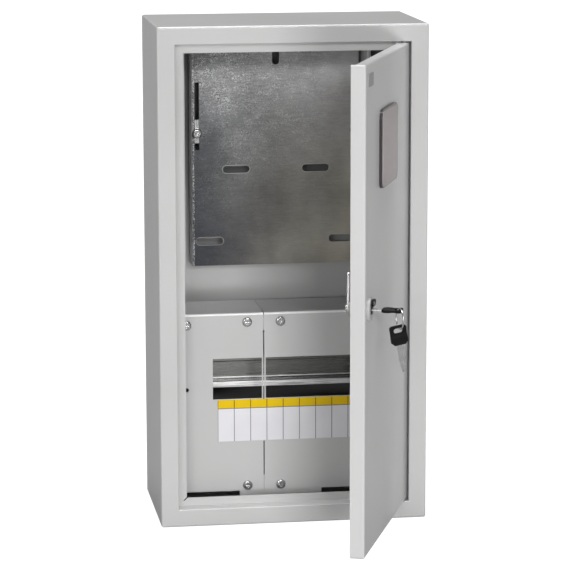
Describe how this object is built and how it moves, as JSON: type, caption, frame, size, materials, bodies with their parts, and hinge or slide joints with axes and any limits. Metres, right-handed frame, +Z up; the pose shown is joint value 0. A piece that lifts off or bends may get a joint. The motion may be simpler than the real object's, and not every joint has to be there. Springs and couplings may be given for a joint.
{
  "type": "electrical enclosure",
  "caption": "Surface-mounted steel meter and breaker enclosure with a hinged windowed door, cam lock with keys, slotted meter plate and covered rail compartment.",
  "frame": {"origin": "centre of the back face, midway between the wall fixing holes", "axes": "+X to the right seen from the front, +Y into the wall, +Z up"},
  "size_m": [0.29, 0.3941, 0.54],
  "materials": {
    "light_grey_paint": "satin powder coat",
    "zinc_plate": "zinc plated",
    "galvanised_plate": "mottled galvanised",
    "label_card": "printed film, blank",
    "brass_bar": "plain",
    "blue_insulator": "moulded",
    "clear_pane": "clear moulded plastic",
    "lock_chrome": "polished",
    "black_plastic": "moulded black",
    "black_lock_plug": "black plated",
    "key_steel": "nickel plated"
  },
  "bodies": {
    "box": {"enclosure_body": "light_grey_paint", "side_strip_left": "light_grey_paint", "side_strip_right": "light_grey_paint", "plate_bracket_left": "zinc_plate", "plate_bracket_right": "zinc_plate", "meter_plate": "galvanised_plate", "meter_plate_screws": "zinc_plate", "din_rail": "galvanised_plate", "rail_bracket_left": "zinc_plate", "rail_bracket_right": "zinc_plate", "rail_screws": "zinc_plate", "cover_left": "light_grey_paint", "cover_right": "light_grey_paint", "cover_bracket_upper": "light_grey_paint", "cover_bracket_lower": "light_grey_paint", "cover_screws": "zinc_plate", "module_label_strip": "label_card", "neutral_bar": "brass_bar", "neutral_bar_insulators": "blue_insulator", "neutral_bar_screws": "zinc_plate", "earth_bar": "brass_bar", "earth_bar_posts": "zinc_plate", "earth_bar_screws": "zinc_plate", "earth_stud": "zinc_plate", "earth_stud_nuts": "zinc_plate", "hinge_pin_upper": "zinc_plate", "hinge_pin_lower": "zinc_plate", "hinge_washers": "zinc_plate"},
    "door": {"door_panel": "light_grey_paint", "door_earth_nut": "zinc_plate", "window_pane": "clear_pane", "window_retainer": "zinc_plate", "window_nuts": "zinc_plate", "lock_housing": "lock_chrome", "lock_nut": "zinc_plate", "dust_cover_rivet": "zinc_plate"},
    "lock": {"lock_plug": "black_lock_plug", "lock_cam": "zinc_plate", "cam_washer": "zinc_plate", "cam_screw": "zinc_plate", "key_blade": "key_steel", "key_bow": "black_plastic"},
    "shutter": {"dust_cover": "black_plastic"},
    "ring": {"key_ring": "key_steel"},
    "spare_key": {"spare_key_blade": "key_steel", "spare_key_bow": "black_plastic"}
  },
  "joints": [
    {"name": "door_hinge", "type": "hinge", "parent": "box", "child": "door", "pos_m": [0.1193, -0.155, 0], "axis": [0, 0, 1], "range_deg": [-69, 36]},
    {"name": "lock_turn", "type": "hinge", "parent": "door", "child": "lock", "pos_m": [0.04391, -0.36535, 0.0035], "axis": [0.9336, -0.3584, 0], "range_deg": [0, 90]},
    {"name": "dust_cover_swing", "type": "hinge", "parent": "door", "child": "shutter", "pos_m": [0.04226, -0.36965, 0.0105], "axis": [0.9336, -0.3584, 0], "range_deg": [0, 60]},
    {"name": "ring_swing", "type": "hinge", "parent": "lock", "child": "ring", "pos_m": [0.07198, -0.38318, 0.00681], "axis": [-0.3584, -0.9336, 0], "range_deg": [-8, 5]},
    {"name": "spare_key_swing", "type": "hinge", "parent": "ring", "child": "spare_key", "pos_m": [0.07198, -0.38318, -0.01379], "axis": [0.1564, -0.9877, 0], "range_deg": [-30, 30]}
  ]
}
